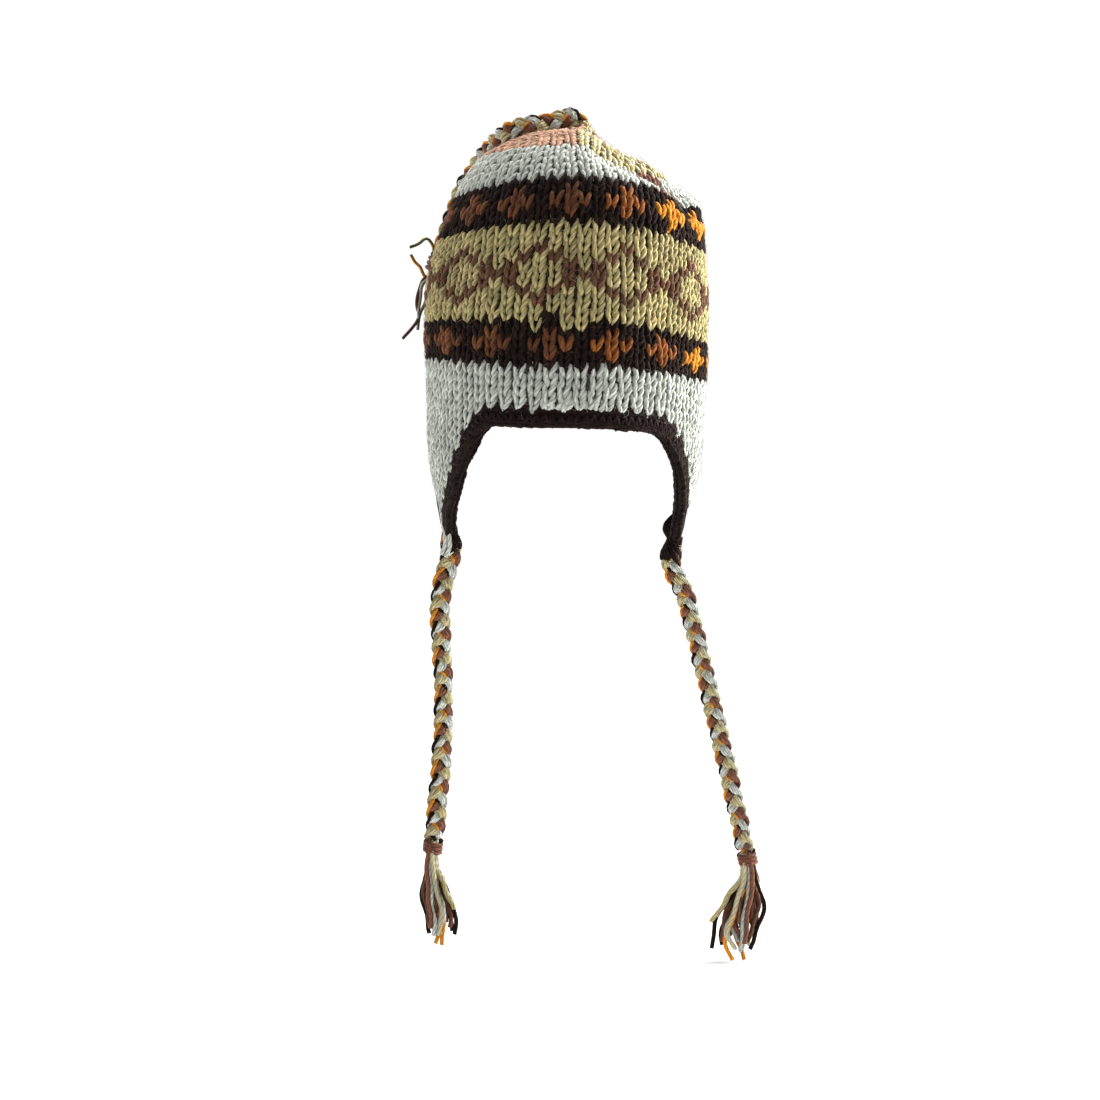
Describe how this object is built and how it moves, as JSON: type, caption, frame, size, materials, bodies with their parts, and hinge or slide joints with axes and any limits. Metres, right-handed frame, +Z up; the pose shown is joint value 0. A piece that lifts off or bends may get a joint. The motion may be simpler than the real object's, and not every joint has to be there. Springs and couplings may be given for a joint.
{
  "type": "chullo hat",
  "caption": "Knitted wool hat with ear flaps, patterned bands, a crocheted edge, braided ties and a braid with a tassel on its tip.",
  "frame": {"origin": "centre of the head opening, level with the lower edge of the crocheted edging at the back", "axes": "+Z up, +Y to the wearer's front, +X to the wearer's right"},
  "size_m": [0.2457, 0.2112, 0.5358],
  "materials": {
    "band_wool": "thick two-ply wool in plain knitting, matt and a little fuzzy, in bands of off-white, dark brown and khaki with rust and brown patterns",
    "white_wool": "off-white heathered two-ply wool in plain knitting, matt and a little fuzzy",
    "dark_wool": "dark brown wool, crocheted, matt and a little fuzzy",
    "braid_wool": "mixed off-white, khaki, reddish brown, dark brown and orange wool in a three-strand braid, matt",
    "tassel_wool": "loose ends of mixed off-white, khaki, brown and orange wool, matt"
  },
  "bodies": {
    "root": {"crown": "band_wool", "ear_flap_left": "white_wool", "ear_flap_right": "white_wool", "edging": "dark_wool", "braid_left": "braid_wool", "braid_right": "braid_wool", "top_braid": "braid_wool", "tassel_left": "tassel_wool", "tassel_right": "tassel_wool", "top_tassel": "tassel_wool"}
  },
  "joints": []
}
